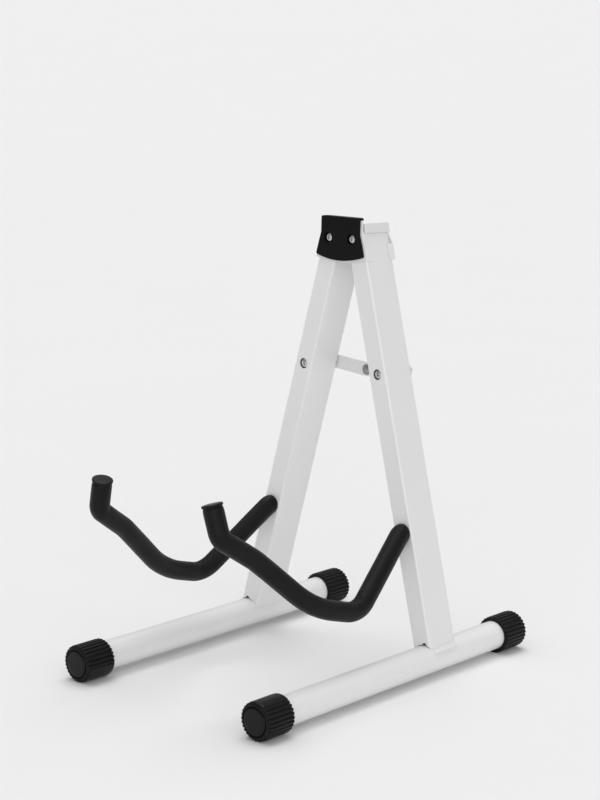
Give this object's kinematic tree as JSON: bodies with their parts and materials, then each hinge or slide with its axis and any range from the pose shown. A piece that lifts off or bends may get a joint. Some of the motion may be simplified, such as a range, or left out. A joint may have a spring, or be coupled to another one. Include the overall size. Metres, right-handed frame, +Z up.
{
  "type": "guitar stand",
  "caption": "Folding A-frame guitar stand: two splayed white legs on tubular feet, a hinged head, a two-link brace and two foam-padded cradle arms.",
  "frame": {"origin": "on the floor, under the middle of the stand's width and depth, stand open", "axes": "+Z up, +X to the right and -Y towards a viewer who faces the arms"},
  "size_m": [0.2872, 0.4122, 0.4597],
  "materials": {
    "paint": "semi-gloss white powder coat",
    "paint_plastic": "satin white",
    "cover": "fine satin black",
    "rubber": "matte black",
    "foam": "matte black closed-cell foam",
    "zinc": "bright zinc plate",
    "rivet": "grey satin steel",
    "nylon": "natural nylon"
  },
  "bodies": {
    "head": {"head_cover": "cover", "bracket_front": "paint", "bracket_rear": "paint", "hinge_screws": "zinc", "hinge_sleeves": "zinc", "hinge_washers": "nylon", "hinge_rear_washers": "zinc", "hinge_nuts": "zinc"},
    "left_leg": {"leg_tube_left": "paint", "leg_cap_left": "paint_plastic", "foot_tube_left": "paint", "foot_weld_left": "paint", "foot_cap_front_left": "rubber", "foot_cap_rear_left": "rubber", "arm_rod_left": "zinc", "arm_weld_left": "paint", "arm_foam_left": "foam", "arm_tip_left": "rubber", "brace_screw_left": "zinc", "brace_spacer_left": "zinc", "brace_nut_left": "zinc"},
    "right_leg": {"leg_tube_right": "paint", "leg_cap_right": "paint_plastic", "foot_tube_right": "paint", "foot_weld_right": "paint", "foot_cap_front_right": "rubber", "foot_cap_rear_right": "rubber", "arm_rod_right": "zinc", "arm_weld_right": "paint", "arm_foam_right": "foam", "arm_tip_right": "rubber", "brace_screw_right": "zinc", "brace_spacer_right": "zinc", "brace_nut_right": "zinc"},
    "left_link": {"brace_link_left": "paint", "rivet_front": "rivet"},
    "right_link": {"brace_link_right": "paint", "rivet_rear": "rivet"}
  },
  "joints": [
    {"name": "leg_fold_right", "type": "hinge", "parent": "head", "child": "right_leg", "pos_m": [0.0155, 0.09137, 0.43677], "axis": [0, 0.9993, -0.0366], "range_deg": [0, 13.2]},
    {"name": "leg_fold_left", "type": "hinge", "parent": "head", "child": "left_leg", "pos_m": [-0.0155, 0.09137, 0.43677], "axis": [0, -0.9993, 0.0366], "range_deg": [0, 13.2]},
    {"name": "brace_fold_right", "type": "hinge", "parent": "right_leg", "child": "right_link", "pos_m": [0.05069, 0.10841, 0.30096], "axis": [0, 0.9993, -0.0366], "range_deg": [0, 60.19]},
    {"name": "brace_fold_left", "type": "hinge", "parent": "left_leg", "child": "left_link", "pos_m": [-0.05069, 0.10841, 0.30096], "axis": [0, -0.9993, 0.0366], "range_deg": [0, 60.19]}
  ],
  "couplings": [
    {"joint": "leg_fold_left", "follows": "leg_fold_right", "ratio": 1},
    {"joint": "brace_fold_right", "follows": "leg_fold_right", "ratio": 4.5587},
    {"joint": "brace_fold_left", "follows": "leg_fold_right", "ratio": 4.5587}
  ]
}
